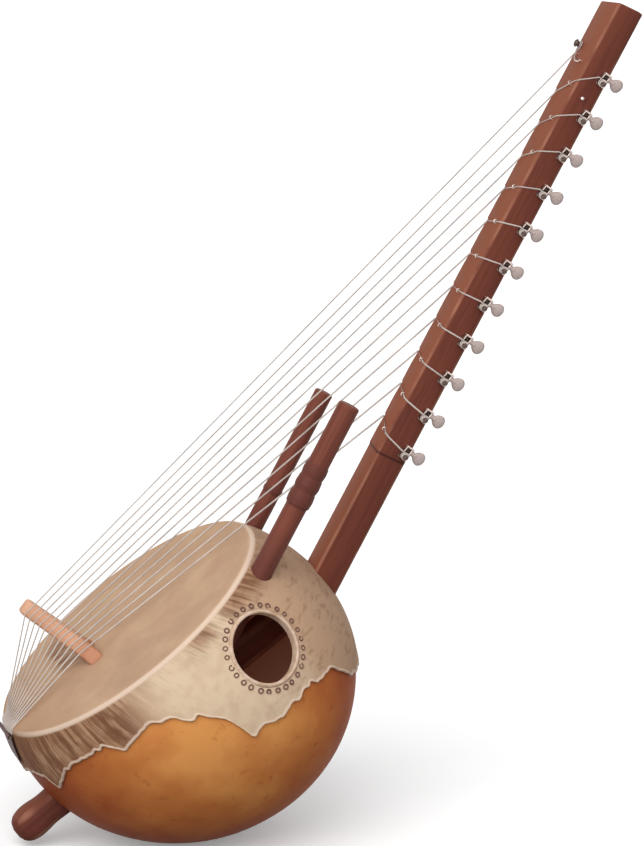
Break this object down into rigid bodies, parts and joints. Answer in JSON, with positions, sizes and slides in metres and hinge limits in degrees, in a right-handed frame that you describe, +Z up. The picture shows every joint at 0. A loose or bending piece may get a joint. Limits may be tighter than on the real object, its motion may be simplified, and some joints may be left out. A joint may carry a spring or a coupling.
{
  "type": "kora",
  "caption": "Kora: a long-necked harp lute with a gourd body, stretched hide, tall bridge, hand posts and geared tuning heads.",
  "frame": {"origin": "centre of the bounding box in X and Y, on the floor under the gourd", "axes": "+Z up, +X towards the neck in plan, -Y towards the near side that carries the sound hole and the machine heads; the neck rises 61.8 degrees from the floor in the XZ plane"},
  "size_m": [0.7784, 0.4078, 1.0155],
  "materials": {
    "gourd": "oiled and polished calabash",
    "hide": "stretched raw hide, dry",
    "hide_edge": "raw hide band, trimmed",
    "wood": "oiled red-brown hardwood",
    "post_wood": "oiled turned hardwood",
    "bridge_wood": "bare pale hardwood, sanded",
    "leather": "dark waxed leather",
    "steel": "dull",
    "nickel": "nickel plated",
    "button": "moulded, satin",
    "nylon": "clear nylon line"
  },
  "bodies": {
    "instrument": {"neck_shaft": "wood", "neck_head": "wood", "near_hand_post": "post_wood", "far_hand_post": "wood", "string_anchor": "steel", "head_frame_01": "nickel", "head_frame_02": "nickel", "head_frame_03": "nickel", "head_frame_04": "nickel", "head_frame_05": "nickel", "head_frame_06": "nickel", "head_frame_07": "nickel", "head_frame_08": "nickel", "head_frame_09": "nickel", "head_frame_10": "nickel", "head_frame_11": "nickel", "gourd_shell": "gourd", "sound_hole_band": "hide_edge", "hide": "hide", "tail_spike": "wood", "crossbar": "wood", "bridge": "bridge_wood", "string_01": "nylon", "string_02": "nylon", "string_03": "nylon", "string_04": "nylon", "string_05": "nylon", "string_06": "nylon", "string_07": "nylon", "string_08": "nylon", "string_09": "nylon", "string_10": "nylon", "string_11": "nylon", "string_12": "nylon", "tail_rod": "steel", "tail_strap": "leather"},
    "knob_01": {"tuning_knob_01": "button"},
    "wheel_01": {"wheel_post_01": "nickel"},
    "knob_02": {"tuning_knob_02": "button"},
    "wheel_02": {"wheel_post_02": "nickel"},
    "knob_03": {"tuning_knob_03": "button"},
    "wheel_03": {"wheel_post_03": "nickel"},
    "knob_04": {"tuning_knob_04": "button"},
    "wheel_04": {"wheel_post_04": "nickel"},
    "knob_05": {"tuning_knob_05": "button"},
    "wheel_05": {"wheel_post_05": "nickel"},
    "knob_06": {"tuning_knob_06": "button"},
    "wheel_06": {"wheel_post_06": "nickel"},
    "knob_07": {"tuning_knob_07": "button"},
    "wheel_07": {"wheel_post_07": "nickel"},
    "knob_08": {"tuning_knob_08": "button"},
    "wheel_08": {"wheel_post_08": "nickel"},
    "knob_09": {"tuning_knob_09": "button"},
    "wheel_09": {"wheel_post_09": "nickel"},
    "knob_10": {"tuning_knob_10": "button"},
    "wheel_10": {"wheel_post_10": "nickel"},
    "knob_11": {"tuning_knob_11": "button"},
    "wheel_11": {"wheel_post_11": "nickel"}
  },
  "joints": [
    {"name": "knob_turn_01", "type": "hinge", "parent": "instrument", "child": "knob_01", "pos_m": [0.34258, -0.03776, 0.92672], "axis": [0.7638, 0.0031, -0.6454], "continuous": true},
    {"name": "wheel_turn_01", "type": "hinge", "parent": "instrument", "child": "wheel_01", "pos_m": [0.33774, -0.03765, 0.921], "axis": [-0.007, -0.9999, -0.013], "continuous": true},
    {"name": "knob_turn_02", "type": "hinge", "parent": "instrument", "child": "knob_02", "pos_m": [0.31856, -0.037, 0.88157], "axis": [0.7638, 0.0031, -0.6454], "continuous": true},
    {"name": "wheel_turn_02", "type": "hinge", "parent": "instrument", "child": "wheel_02", "pos_m": [0.31372, -0.0369, 0.87584], "axis": [-0.007, -0.9999, -0.013], "continuous": true},
    {"name": "knob_turn_03", "type": "hinge", "parent": "instrument", "child": "knob_03", "pos_m": [0.29453, -0.03625, 0.83641], "axis": [0.7638, 0.0031, -0.6454], "continuous": true},
    {"name": "wheel_turn_03", "type": "hinge", "parent": "instrument", "child": "wheel_03", "pos_m": [0.28969, -0.03614, 0.83068], "axis": [-0.007, -0.9999, -0.013], "continuous": true},
    {"name": "knob_turn_04", "type": "hinge", "parent": "instrument", "child": "knob_04", "pos_m": [0.27051, -0.0355, 0.79125], "axis": [0.7638, 0.0031, -0.6454], "continuous": true},
    {"name": "wheel_turn_04", "type": "hinge", "parent": "instrument", "child": "wheel_04", "pos_m": [0.26567, -0.03539, 0.78552], "axis": [-0.007, -0.9999, -0.013], "continuous": true},
    {"name": "knob_turn_05", "type": "hinge", "parent": "instrument", "child": "knob_05", "pos_m": [0.24649, -0.03474, 0.74609], "axis": [0.7638, 0.0031, -0.6454], "continuous": true},
    {"name": "wheel_turn_05", "type": "hinge", "parent": "instrument", "child": "wheel_05", "pos_m": [0.24165, -0.03464, 0.74037], "axis": [-0.007, -0.9999, -0.013], "continuous": true},
    {"name": "knob_turn_06", "type": "hinge", "parent": "instrument", "child": "knob_06", "pos_m": [0.22246, -0.03399, 0.70094], "axis": [0.7638, 0.0031, -0.6454], "continuous": true},
    {"name": "wheel_turn_06", "type": "hinge", "parent": "instrument", "child": "wheel_06", "pos_m": [0.21762, -0.03388, 0.69521], "axis": [-0.007, -0.9999, -0.013], "continuous": true},
    {"name": "knob_turn_07", "type": "hinge", "parent": "instrument", "child": "knob_07", "pos_m": [0.19844, -0.03324, 0.65578], "axis": [0.7638, 0.0031, -0.6454], "continuous": true},
    {"name": "wheel_turn_07", "type": "hinge", "parent": "instrument", "child": "wheel_07", "pos_m": [0.1936, -0.03313, 0.65005], "axis": [-0.007, -0.9999, -0.013], "continuous": true},
    {"name": "knob_turn_08", "type": "hinge", "parent": "instrument", "child": "knob_08", "pos_m": [0.17442, -0.03248, 0.61062], "axis": [0.7638, 0.0031, -0.6454], "continuous": true},
    {"name": "wheel_turn_08", "type": "hinge", "parent": "instrument", "child": "wheel_08", "pos_m": [0.16958, -0.03238, 0.60489], "axis": [-0.007, -0.9999, -0.013], "continuous": true},
    {"name": "knob_turn_09", "type": "hinge", "parent": "instrument", "child": "knob_09", "pos_m": [0.15039, -0.03173, 0.56546], "axis": [0.7638, 0.0031, -0.6454], "continuous": true},
    {"name": "wheel_turn_09", "type": "hinge", "parent": "instrument", "child": "wheel_09", "pos_m": [0.14555, -0.03162, 0.55973], "axis": [-0.007, -0.9999, -0.013], "continuous": true},
    {"name": "knob_turn_10", "type": "hinge", "parent": "instrument", "child": "knob_10", "pos_m": [0.12637, -0.03098, 0.5203], "axis": [0.7638, 0.0031, -0.6454], "continuous": true},
    {"name": "wheel_turn_10", "type": "hinge", "parent": "instrument", "child": "wheel_10", "pos_m": [0.12153, -0.03087, 0.51458], "axis": [-0.007, -0.9999, -0.013], "continuous": true},
    {"name": "knob_turn_11", "type": "hinge", "parent": "instrument", "child": "knob_11", "pos_m": [0.10235, -0.03022, 0.47515], "axis": [0.7638, 0.0031, -0.6454], "continuous": true},
    {"name": "wheel_turn_11", "type": "hinge", "parent": "instrument", "child": "wheel_11", "pos_m": [0.09751, -0.03012, 0.46942], "axis": [-0.007, -0.9999, -0.013], "continuous": true}
  ],
  "couplings": [
    {"joint": "wheel_turn_01", "follows": "knob_turn_01", "ratio": 0.083333},
    {"joint": "wheel_turn_02", "follows": "knob_turn_02", "ratio": 0.083333},
    {"joint": "wheel_turn_03", "follows": "knob_turn_03", "ratio": 0.083333},
    {"joint": "wheel_turn_04", "follows": "knob_turn_04", "ratio": 0.083333},
    {"joint": "wheel_turn_05", "follows": "knob_turn_05", "ratio": 0.083333},
    {"joint": "wheel_turn_06", "follows": "knob_turn_06", "ratio": 0.083333},
    {"joint": "wheel_turn_07", "follows": "knob_turn_07", "ratio": 0.083333},
    {"joint": "wheel_turn_08", "follows": "knob_turn_08", "ratio": 0.083333},
    {"joint": "wheel_turn_09", "follows": "knob_turn_09", "ratio": 0.083333},
    {"joint": "wheel_turn_10", "follows": "knob_turn_10", "ratio": 0.083333},
    {"joint": "wheel_turn_11", "follows": "knob_turn_11", "ratio": 0.083333}
  ]
}
